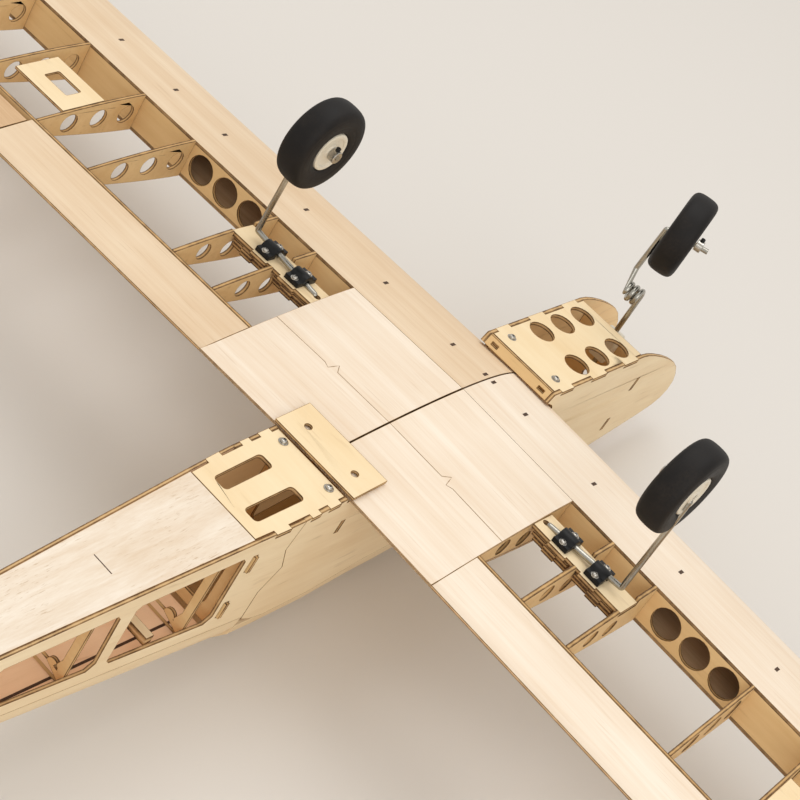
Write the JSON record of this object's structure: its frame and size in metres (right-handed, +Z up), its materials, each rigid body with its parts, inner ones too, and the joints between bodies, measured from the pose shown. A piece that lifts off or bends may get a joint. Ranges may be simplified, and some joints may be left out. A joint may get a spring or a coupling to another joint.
{
  "type": "model aeroplane airframe",
  "caption": "Uncovered balsa and plywood low-wing model aeroplane airframe lying on its back, with sprung wire tricycle landing gear and hinged control surfaces.",
  "frame": {"origin": "on the ground under the middle of the bounding box, with the aeroplane lying on its back on its canopy and fin", "axes": "+X along the span towards the aeroplane's right wing tip, +Y towards the tail (the aeroplane's nose points to -Y), +Z up, which is out of the aeroplane's belly; the aeroplane's own length axis is pitched 7.24 degrees nose down about X, as it lies"},
  "size_m": [1.24, 1.1198, 0.2539],
  "materials": {
    "balsa_sheet": "sanded, pale, faint straight grain",
    "balsa_grain": "sanded, stronger brown grain flecks",
    "plywood": "light plywood with brown laser-cut edges",
    "tyre": "matt black rubber, dusty",
    "hub": "off-white moulded nylon",
    "nylon": "black moulded nylon",
    "wire": "plated music wire"
  },
  "bodies": {
    "airframe": {"belly_hatch": "plywood", "belly_sheet": "balsa_grain", "canopy": "balsa_sheet", "centre_skin_L": "balsa_sheet", "centre_skin_R": "balsa_sheet", "fin": "balsa_sheet", "firewall": "plywood", "gear_plate_L": "plywood", "gear_plate_R": "plywood", "le_skin_L": "balsa_sheet", "le_skin_R": "balsa_sheet", "nose_bracket": "nylon", "nose_former": "plywood", "nose_plate": "plywood", "rear_former": "plywood", "rear_spar_L": "plywood", "rear_spar_R": "plywood", "rib_1_L": "plywood", "rib_1_R": "plywood", "rib_2_L": "plywood", "rib_2_R": "plywood", "rib_3_L": "plywood", "rib_3_R": "plywood", "rib_4_L": "plywood", "rib_4_R": "plywood", "rib_5_L": "plywood", "rib_5_R": "plywood", "rib_6_L": "plywood", "rib_6_R": "plywood", "saddle_former": "plywood", "side_front_L": "plywood", "side_front_R": "plywood", "side_rear_L": "balsa_grain", "side_rear_R": "balsa_grain", "spar_web_L": "plywood", "spar_web_R": "plywood", "strap_inner_L": "nylon", "strap_inner_R": "nylon", "strap_outer_L": "nylon", "strap_outer_R": "nylon", "tailplane": "balsa_sheet", "te_skin_L": "balsa_sheet", "te_skin_R": "balsa_sheet", "turtledeck": "balsa_sheet", "wing_bolt_plate": "plywood", "wing_tip_L": "balsa_grain", "wing_tip_R": "balsa_grain"},
    "aileron_left": {"aileron_L": "balsa_sheet"},
    "aileron_right": {"aileron_R": "balsa_sheet"},
    "elevator": {"elevator": "balsa_sheet"},
    "rudder": {"rudder": "balsa_sheet"},
    "gear_left": {"gear_wire_L": "wire"},
    "gear_right": {"gear_wire_R": "wire"},
    "wheel_left": {"tyre_L": "tyre", "hub_L": "hub"},
    "wheel_right": {"tyre_R": "tyre", "hub_R": "hub"},
    "nose_leg": {"nose_leg": "wire"},
    "nose_wheel": {"tyre_nose": "tyre", "hub_nose": "hub"}
  },
  "joints": [
    {"name": "aileron_right_hinge", "type": "hinge", "parent": "airframe", "child": "aileron_right", "pos_m": [0.322, -0.15343, 0.12675], "axis": [0.9996, 0.0034, -0.0271], "range_deg": [-20, 20]},
    {"name": "aileron_left_hinge", "type": "hinge", "parent": "airframe", "child": "aileron_left", "pos_m": [-0.322, -0.15343, 0.12675], "axis": [0.9996, -0.0034, 0.0271], "range_deg": [-20, 20]},
    {"name": "gear_right_torsion", "type": "hinge", "parent": "airframe", "child": "gear_right", "pos_m": [0.14, -0.22698, 0.13683], "axis": [0.9996, 0.0034, -0.0271], "range_deg": [-8, 8], "stiffness_Nm_per_rad": 5},
    {"name": "wheel_right_spin", "type": "hinge", "parent": "gear_right", "child": "wheel_right", "pos_m": [0.1612, -0.23776, 0.22167], "axis": [1, 0, 0], "continuous": true},
    {"name": "gear_left_torsion", "type": "hinge", "parent": "airframe", "child": "gear_left", "pos_m": [-0.14, -0.22698, 0.13683], "axis": [0.9996, -0.0034, 0.0271], "range_deg": [-8, 8], "stiffness_Nm_per_rad": 5},
    {"name": "wheel_left_spin", "type": "hinge", "parent": "gear_left", "child": "wheel_left", "pos_m": [-0.1612, -0.23776, 0.22167], "axis": [1, 0, 0], "continuous": true},
    {"name": "elevator_hinge", "type": "hinge", "parent": "airframe", "child": "elevator", "pos_m": [0, 0.49562, 0.14043], "axis": [1, 0, 0], "range_deg": [-25, 25]},
    {"name": "rudder_hinge", "type": "hinge", "parent": "airframe", "child": "rudder", "pos_m": [0, 0.50442, 0.06796], "axis": [0, -0.126, 0.992], "range_deg": [-25, 25]},
    {"name": "nose_steering", "type": "hinge", "parent": "airframe", "child": "nose_leg", "pos_m": [0, -0.46842, 0.09561], "axis": [0, -0.126, 0.992], "range_deg": [-44, 12]},
    {"name": "nose_wheel_spin", "type": "hinge", "parent": "nose_leg", "child": "nose_wheel", "pos_m": [0.00096, -0.48124, 0.19881], "axis": [0.9593, 0.2801, 0.0356], "continuous": true}
  ]
}
